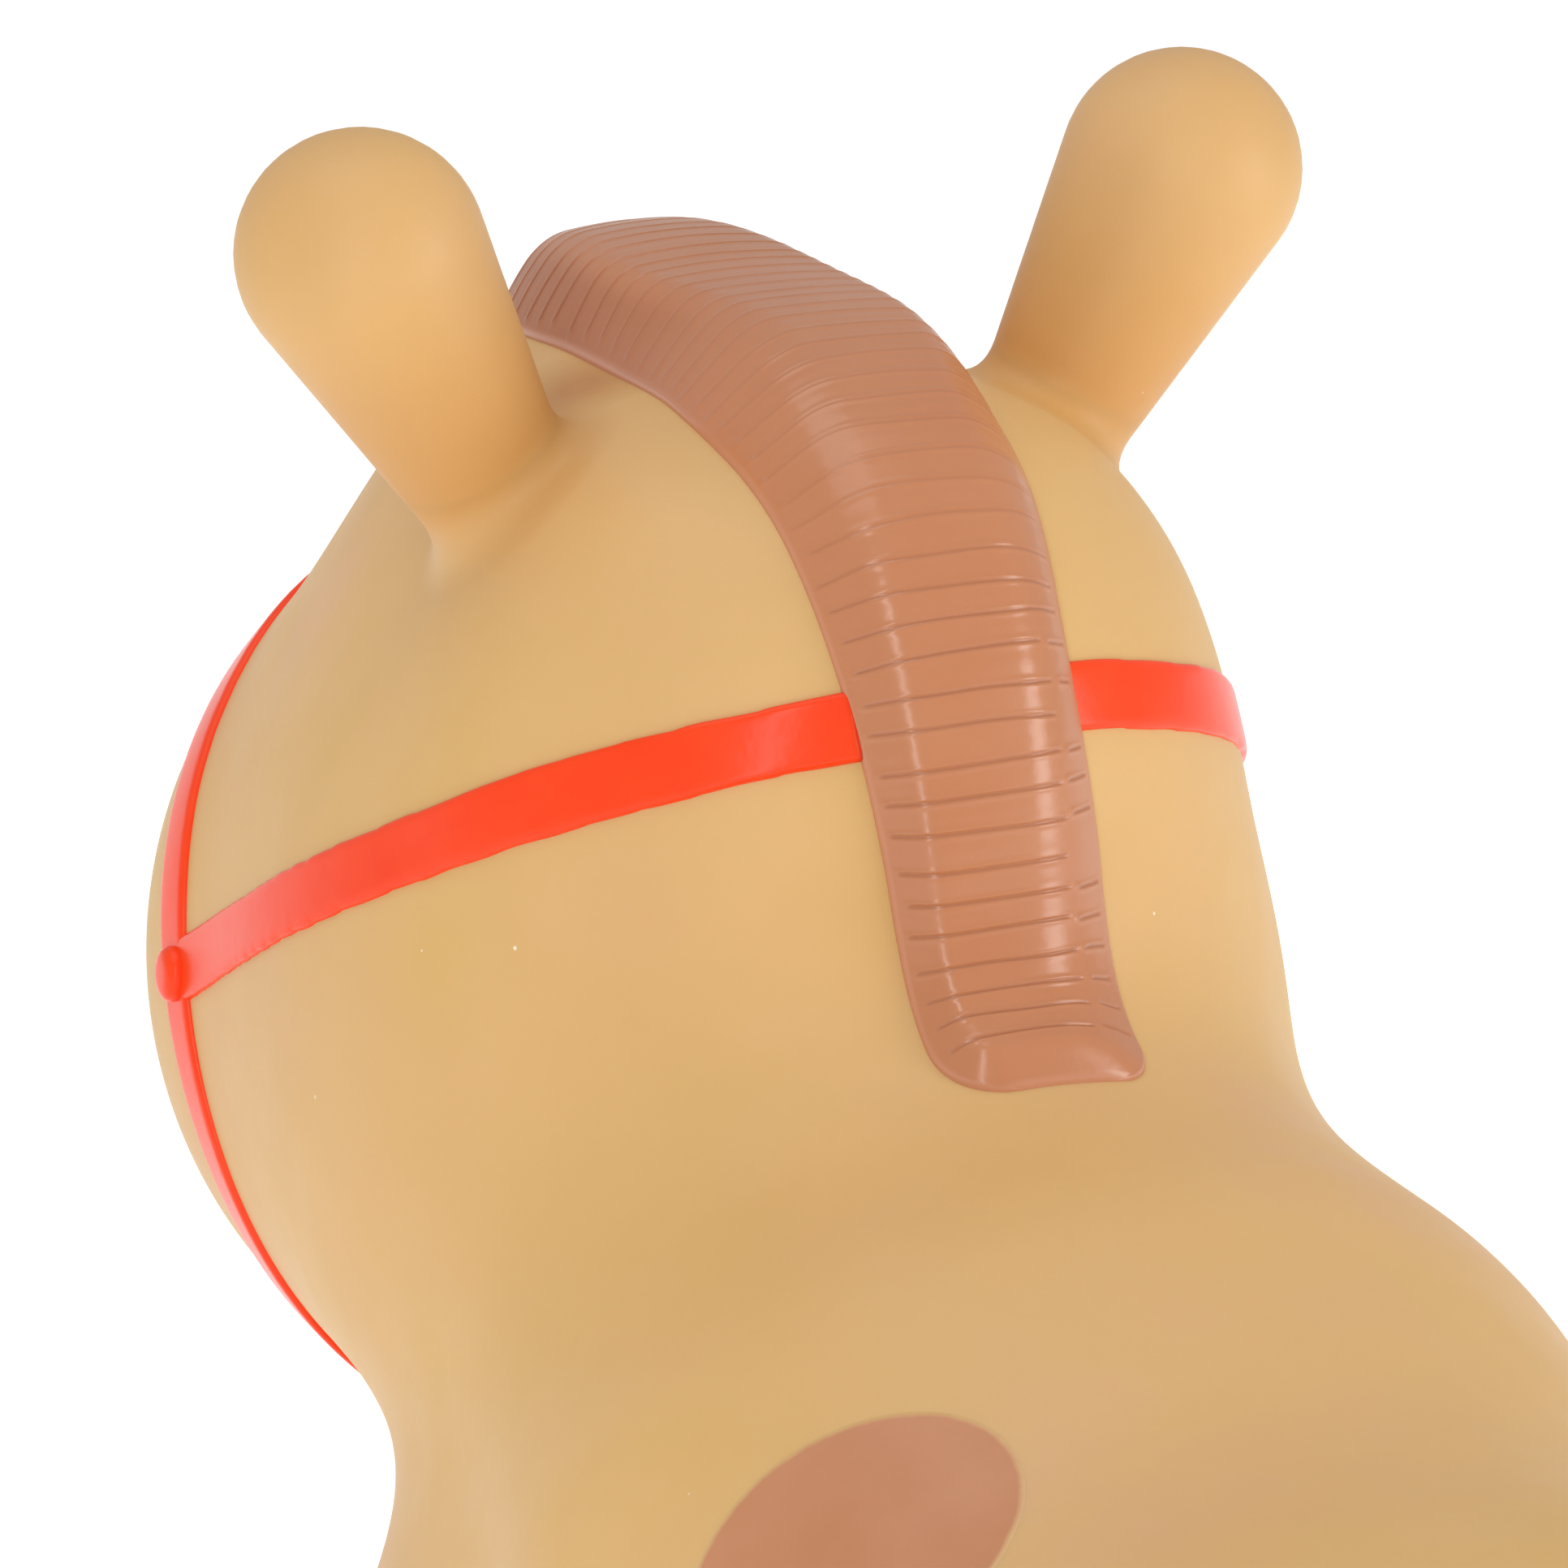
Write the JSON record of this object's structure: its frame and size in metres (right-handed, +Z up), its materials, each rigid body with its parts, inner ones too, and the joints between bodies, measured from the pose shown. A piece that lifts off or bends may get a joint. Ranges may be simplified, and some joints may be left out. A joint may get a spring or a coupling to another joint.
{
  "type": "inflatable hopping horse",
  "caption": "Inflatable ride-on hopping horse with ear handles, raised mane, red bridle and a belly air valve, standing on stub legs.",
  "frame": {"origin": "middle of the footprint on the floor, under the belly", "axes": "+Z up, -Y the way the horse faces, +X its left side"},
  "size_m": [0.2992, 0.6331, 0.4999],
  "materials": {
    "skin_pvc": "satin",
    "brown_pvc": "satin",
    "strap_pvc": "gloss",
    "eye_white": "gloss",
    "eye_black": "gloss",
    "nostril_paint": "satin",
    "valve_plastic": "matte"
  },
  "bodies": {
    "body": {"body_shell": "skin_pvc", "leg_front_left": "skin_pvc", "leg_front_right": "skin_pvc", "leg_hind_left": "skin_pvc", "leg_hind_right": "skin_pvc", "mane": "brown_pvc", "tail": "brown_pvc", "noseband": "strap_pvc", "cheek_strap_left": "strap_pvc", "cheek_strap_right": "strap_pvc", "rosette_left": "strap_pvc", "rosette_right": "strap_pvc", "eye_white_left": "eye_white", "eye_pupil_left": "eye_black", "nostril_left": "nostril_paint", "eye_white_right": "eye_white", "eye_pupil_right": "eye_black", "nostril_right": "nostril_paint", "spot_shoulder_left": "brown_pvc", "spot_shoulder_right": "brown_pvc", "spot_flank_left": "brown_pvc", "spot_flank_right": "brown_pvc", "spot_rump_left": "brown_pvc", "spot_rump_right": "brown_pvc", "spot_chest_left": "brown_pvc", "valve_collar": "valve_plastic"},
    "ear_left": {"ear_left": "skin_pvc"},
    "ear_right": {"ear_right": "skin_pvc"},
    "hoof_front_left": {"hoof_front_left": "brown_pvc"},
    "hoof_front_right": {"hoof_front_right": "brown_pvc"},
    "hoof_hind_left": {"hoof_hind_left": "brown_pvc"},
    "hoof_hind_right": {"hoof_hind_right": "brown_pvc"},
    "valve_plug": {"valve_plug": "valve_plastic"}
  },
  "joints": [
    {"name": "ear_left_flex", "type": "hinge", "parent": "body", "child": "ear_left", "pos_m": [0.06244, -0.12584, 0.42401], "axis": [1, 0, 0], "range_deg": [-12, 12], "stiffness_Nm_per_rad": 3},
    {"name": "ear_right_flex", "type": "hinge", "parent": "body", "child": "ear_right", "pos_m": [-0.06244, -0.12584, 0.42401], "axis": [1, 0, 0], "range_deg": [-12, 12], "stiffness_Nm_per_rad": 3},
    {"name": "hoof_front_left_press", "type": "slide", "parent": "body", "child": "hoof_front_left", "axis": [0, 0, 1], "range_m": [0, 0.012], "stiffness_N_per_m": 3000, "springref_m": -0.002, "deforming": ["leg_front_left"]},
    {"name": "hoof_front_right_press", "type": "slide", "parent": "body", "child": "hoof_front_right", "axis": [0, 0, 1], "range_m": [0, 0.012], "stiffness_N_per_m": 3000, "springref_m": -0.002, "deforming": ["leg_front_right"]},
    {"name": "hoof_hind_left_press", "type": "slide", "parent": "body", "child": "hoof_hind_left", "axis": [0, 0, 1], "range_m": [0, 0.012], "stiffness_N_per_m": 3000, "springref_m": -0.002, "deforming": ["leg_hind_left"]},
    {"name": "hoof_hind_right_press", "type": "slide", "parent": "body", "child": "hoof_hind_right", "axis": [0, 0, 1], "range_m": [0, 0.012], "stiffness_N_per_m": 3000, "springref_m": -0.002, "deforming": ["leg_hind_right"]},
    {"name": "valve_plug_pull", "type": "slide", "parent": "body", "child": "valve_plug", "axis": [0, 0, -1], "range_m": [0, 0.018]}
  ]
}
